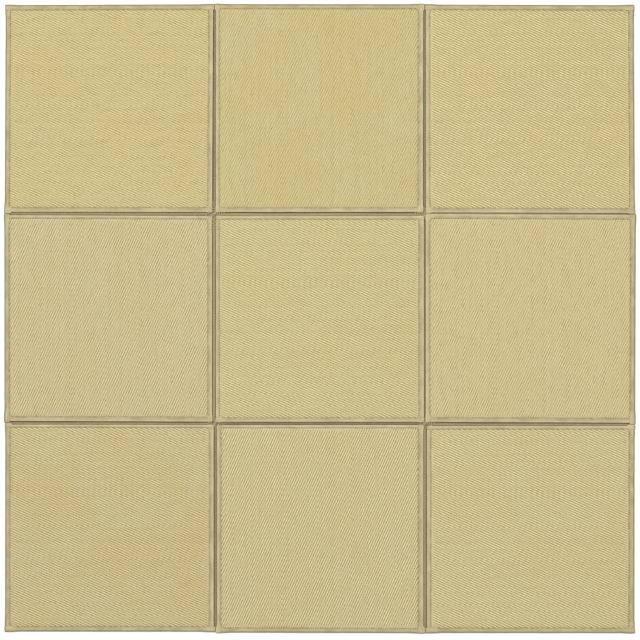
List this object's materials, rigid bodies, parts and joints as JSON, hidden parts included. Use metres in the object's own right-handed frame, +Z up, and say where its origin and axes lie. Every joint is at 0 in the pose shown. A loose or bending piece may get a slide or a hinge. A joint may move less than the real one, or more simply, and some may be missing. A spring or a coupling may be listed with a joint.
{
  "type": "folding tatami mat",
  "caption": "Square folding floor mat of twill-woven rush panels with alternating weave direction, bound in cloth tape and joined by sewn thread hinges.",
  "frame": {"origin": "under the middle of the mat, on the face that lies on the floor", "axes": "+Z up out of the floor, +X to the mat's right and +Y to its top as seen from above"},
  "size_m": [1.808, 1.8008, 0.008],
  "materials": {
    "woven_rush": "dried rush, twill woven, satin",
    "binding_cloth": "plain woven cotton tape, matte",
    "hinge_thread": "twisted thread, matte"
  },
  "bodies": {
    "root": {"rush_r1c1": "woven_rush", "rush_r1c2": "woven_rush", "rush_r1c3": "woven_rush", "rush_r2c1": "woven_rush", "rush_r2c2": "woven_rush", "rush_r2c3": "woven_rush", "rush_r3c1": "woven_rush", "rush_r3c2": "woven_rush", "rush_r3c3": "woven_rush", "tape_r1c1_right": "binding_cloth", "tape_r1c1_top": "binding_cloth", "tape_r1c1_left": "binding_cloth", "tape_r1c1_bottom": "binding_cloth", "tape_r1c2_right": "binding_cloth", "tape_r1c2_top": "binding_cloth", "tape_r1c2_left": "binding_cloth", "tape_r1c2_bottom": "binding_cloth", "tape_r1c3_right": "binding_cloth", "tape_r1c3_top": "binding_cloth", "tape_r1c3_left": "binding_cloth", "tape_r1c3_bottom": "binding_cloth", "tape_r2c1_right": "binding_cloth", "tape_r2c1_top": "binding_cloth", "tape_r2c1_left": "binding_cloth", "tape_r2c1_bottom": "binding_cloth", "tape_r2c2_right": "binding_cloth", "tape_r2c2_top": "binding_cloth", "tape_r2c2_left": "binding_cloth", "tape_r2c2_bottom": "binding_cloth", "tape_r2c3_right": "binding_cloth", "tape_r2c3_top": "binding_cloth", "tape_r2c3_left": "binding_cloth", "tape_r2c3_bottom": "binding_cloth", "tape_r3c1_right": "binding_cloth", "tape_r3c1_top": "binding_cloth", "tape_r3c1_left": "binding_cloth", "tape_r3c1_bottom": "binding_cloth", "tape_r3c2_right": "binding_cloth", "tape_r3c2_top": "binding_cloth", "tape_r3c2_left": "binding_cloth", "tape_r3c2_bottom": "binding_cloth", "tape_r3c3_right": "binding_cloth", "tape_r3c3_top": "binding_cloth", "tape_r3c3_left": "binding_cloth", "tape_r3c3_bottom": "binding_cloth", "hinge_r1_c1c2": "hinge_thread", "hinge_r1_c2c3": "hinge_thread", "hinge_r2_c1c2": "hinge_thread", "hinge_r2_c2c3": "hinge_thread", "hinge_r3_c1c2": "hinge_thread", "hinge_r3_c2c3": "hinge_thread", "hinge_c1_r1r2": "hinge_thread", "hinge_c2_r1r2": "hinge_thread", "hinge_c3_r1r2": "hinge_thread", "hinge_c1_r2r3": "hinge_thread", "hinge_c2_r2r3": "hinge_thread", "hinge_c3_r2r3": "hinge_thread"}
  },
  "joints": []
}
